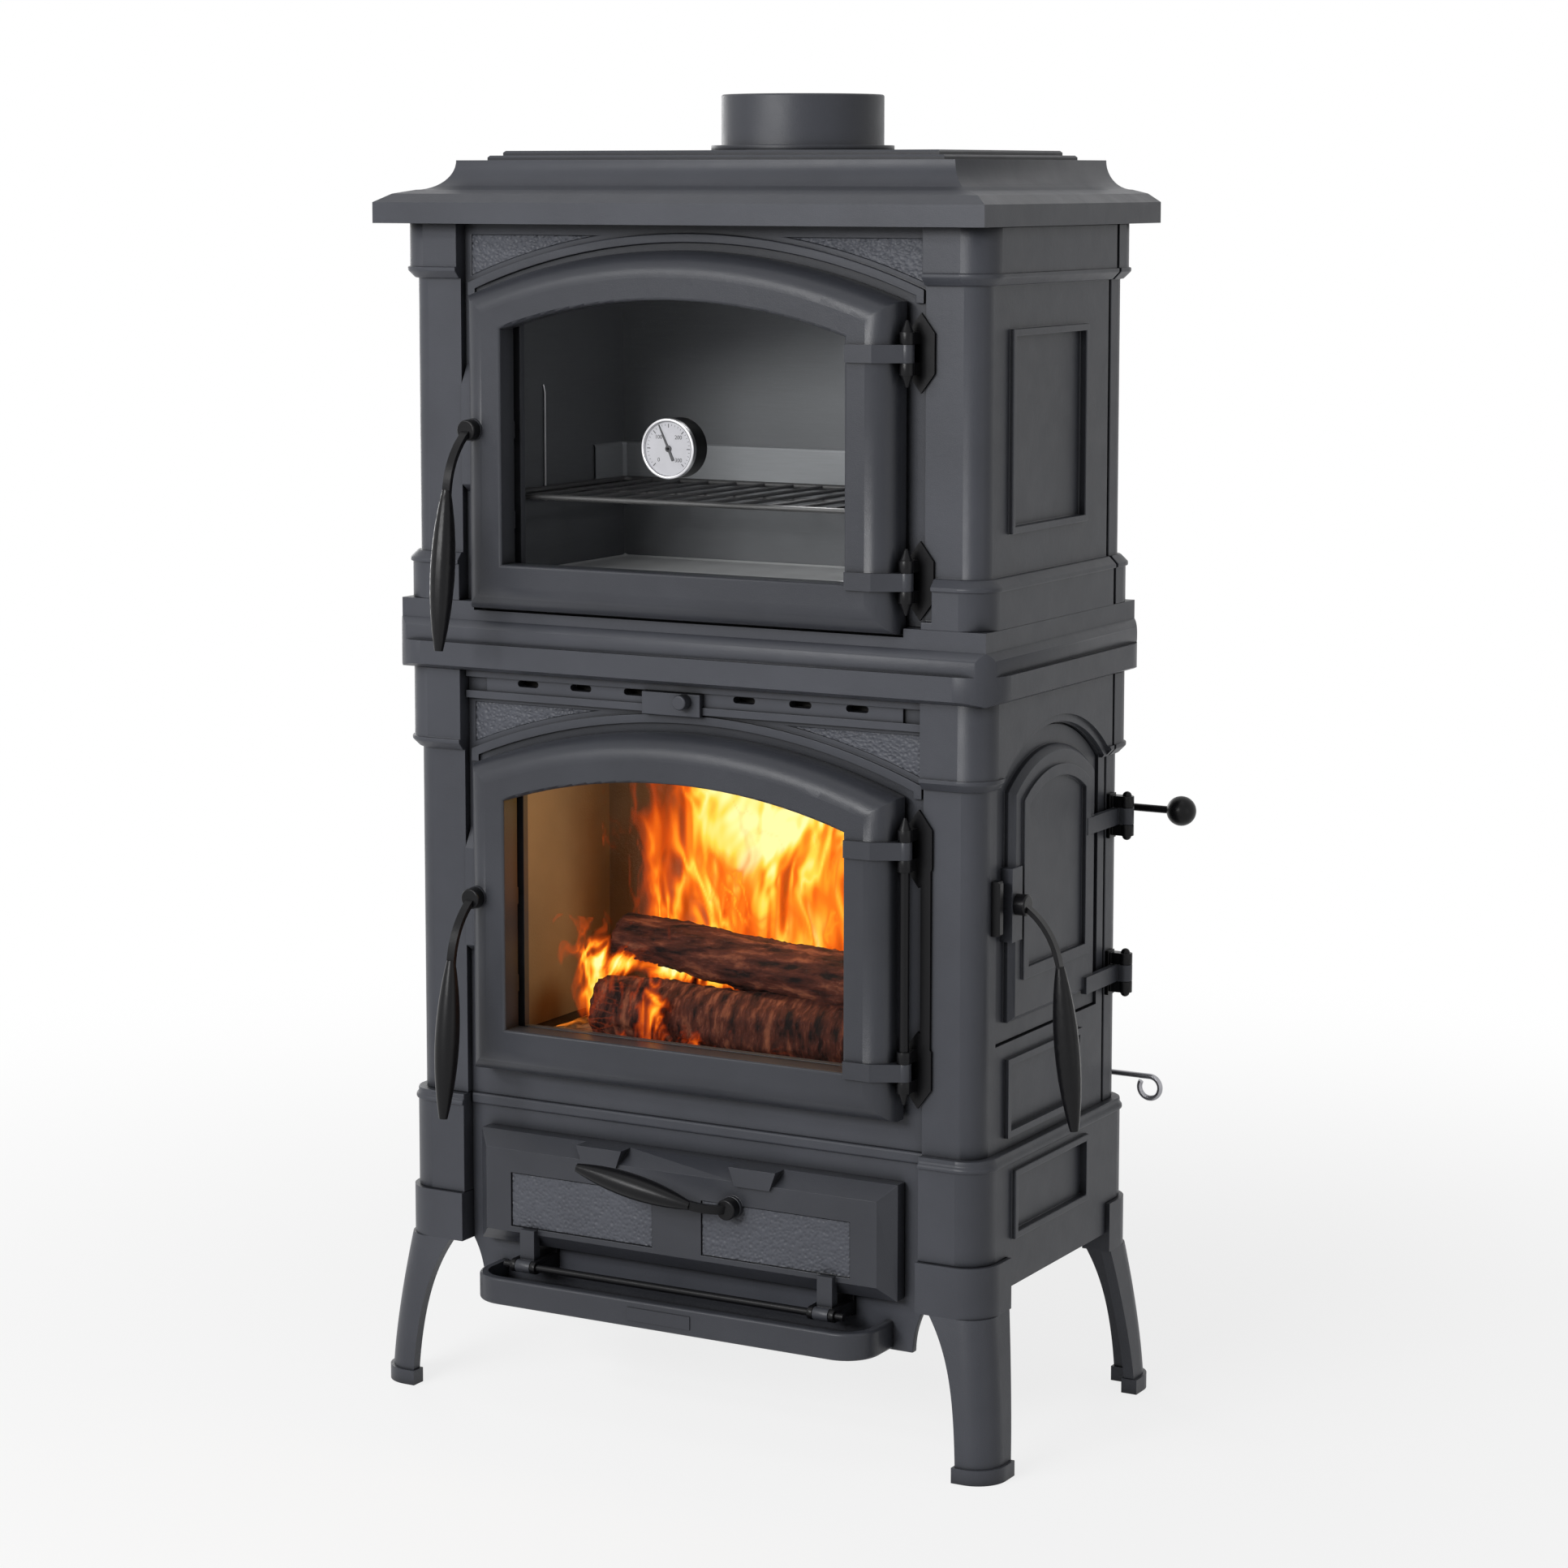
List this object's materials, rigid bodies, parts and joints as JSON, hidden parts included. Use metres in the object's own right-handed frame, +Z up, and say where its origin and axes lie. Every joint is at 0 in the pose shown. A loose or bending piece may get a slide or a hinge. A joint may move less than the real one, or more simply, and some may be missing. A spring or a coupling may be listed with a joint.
{
  "type": "wood stove with oven",
  "caption": "Tall cast-iron wood stove on cabriole legs, with a glazed oven above a glazed firebox, a side loading door, an ash door and a flue collar on top.",
  "frame": {"origin": "on the floor, under the middle of the whole stove's bounding box", "axes": "+Z up, -Y towards the glass doors, +X towards the side with the loading door"},
  "size_m": [0.7972, 0.494, 1.4],
  "materials": {
    "cast_body": "satin anthracite stove paint",
    "black_iron": "gloss black enamel",
    "glass": "clear ceramic glass",
    "rope": "flat woven glass rope",
    "sheet_steel": "dull rolled sheet",
    "bright_wire": "plated wire",
    "lining_board": "pressed mineral lining board",
    "raw_iron": "bare casting"
  },
  "bodies": {
    "stove_body": {"ash_box": "sheet_steel", "ash_hinge_rod": "black_iron", "ash_lug_left": "cast_body", "ash_lug_right": "cast_body", "ash_pan": "sheet_steel", "base_frame": "cast_body", "base_front": "cast_body", "fire_front": "cast_body", "fire_hinge": "black_iron", "fire_hinge_pin": "black_iron", "firebox_floor": "raw_iron", "flue_collar": "cast_body", "hearth_lip": "cast_body", "hob_plate": "cast_body", "leg_front_left": "cast_body", "leg_front_right": "cast_body", "leg_rear_left": "cast_body", "leg_rear_right": "cast_body", "lining_back": "lining_board", "lining_left": "lining_board", "lining_right": "lining_board", "load_catch": "black_iron", "load_hinge_lower": "black_iron", "load_hinge_upper": "black_iron", "lower_back": "cast_body", "lower_post_left": "cast_body", "lower_post_right": "cast_body", "lower_side_left": "cast_body", "lower_side_right": "cast_body", "mid_cornice": "cast_body", "oven_back": "cast_body", "oven_front": "cast_body", "oven_hinge_lower": "black_iron", "oven_hinge_upper": "black_iron", "oven_liner": "sheet_steel", "oven_rack": "bright_wire", "oven_side_left": "cast_body", "oven_side_right": "cast_body", "top_plate": "cast_body", "upper_post_left": "cast_body", "upper_post_right": "cast_body"},
    "oven_door_body": {"oven_door": "cast_body", "oven_glass": "glass", "oven_rope": "rope", "thermometer_case": "black_iron"},
    "oven_handle_body": {"oven_handle": "black_iron"},
    "needle_body": {"thermometer_needle": "bright_wire"},
    "fire_door_body": {"fire_door": "cast_body", "fire_glass": "glass", "fire_rope": "rope"},
    "fire_handle_body": {"fire_handle": "black_iron"},
    "load_door_body": {"load_door": "cast_body"},
    "load_handle_body": {"load_handle": "black_iron"},
    "ash_door_body": {"ash_door": "cast_body"},
    "ash_handle_body": {"ash_handle": "black_iron"},
    "air_slider_body": {"air_slider": "cast_body"},
    "damper_body": {"damper_rod": "black_iron"},
    "grate_body": {"grate": "raw_iron", "shaker_rod": "bright_wire"}
  },
  "joints": [
    {"name": "oven_door_hinge", "type": "hinge", "parent": "stove_body", "child": "oven_door_body", "pos_m": [0.24036, -0.15501, 1.048], "axis": [0, 0, 1], "range_deg": [0, 110]},
    {"name": "fire_door_hinge", "type": "hinge", "parent": "stove_body", "child": "fire_door_body", "pos_m": [0.24036, -0.15501, 0.55], "axis": [0, 0, 1], "range_deg": [0, 110]},
    {"name": "oven_handle_turn", "type": "hinge", "parent": "oven_door_body", "child": "oven_handle_body", "pos_m": [-0.26264, -0.17501, 1.049], "axis": [0, 1, 0], "range_deg": [0, 90]},
    {"name": "fire_handle_turn", "type": "hinge", "parent": "fire_door_body", "child": "fire_handle_body", "pos_m": [-0.26264, -0.17501, 0.551], "axis": [0, 1, 0], "range_deg": [0, 90]},
    {"name": "thermometer_needle_turn", "type": "hinge", "parent": "oven_door_body", "child": "needle_body", "pos_m": [-0.02464, -0.17101, 1.037], "axis": [0, 1, 0], "range_deg": [0, 270]},
    {"name": "load_door_hinge", "type": "hinge", "parent": "stove_body", "child": "load_door_body", "pos_m": [0.33336, 0.18099, 0.551], "axis": [0, 0, 1], "range_deg": [0, 110]},
    {"name": "load_handle_turn", "type": "hinge", "parent": "load_door_body", "child": "load_handle_body", "pos_m": [0.32666, -0.07301, 0.581], "axis": [-1, 0, 0], "range_deg": [0, 90]},
    {"name": "ash_door_hinge", "type": "hinge", "parent": "stove_body", "child": "ash_door_body", "pos_m": [-0.02464, -0.17201, 0.155], "axis": [1, 0, 0], "range_deg": [0, 90]},
    {"name": "ash_handle_turn", "type": "hinge", "parent": "ash_door_body", "child": "ash_handle_body", "pos_m": [0.04336, -0.16401, 0.25], "axis": [0, 1, 0], "range_deg": [0, 60]},
    {"name": "air_slider_slide", "type": "slide", "parent": "stove_body", "child": "air_slider_body", "axis": [1, 0, 0], "range_m": [-0.02, 0.02]},
    {"name": "damper_slide", "type": "slide", "parent": "stove_body", "child": "damper_body", "axis": [1, 0, 0], "range_m": [0, 0.06]},
    {"name": "grate_shake", "type": "slide", "parent": "stove_body", "child": "grate_body", "axis": [1, 0, 0], "range_m": [-0.015, 0.015]}
  ]
}
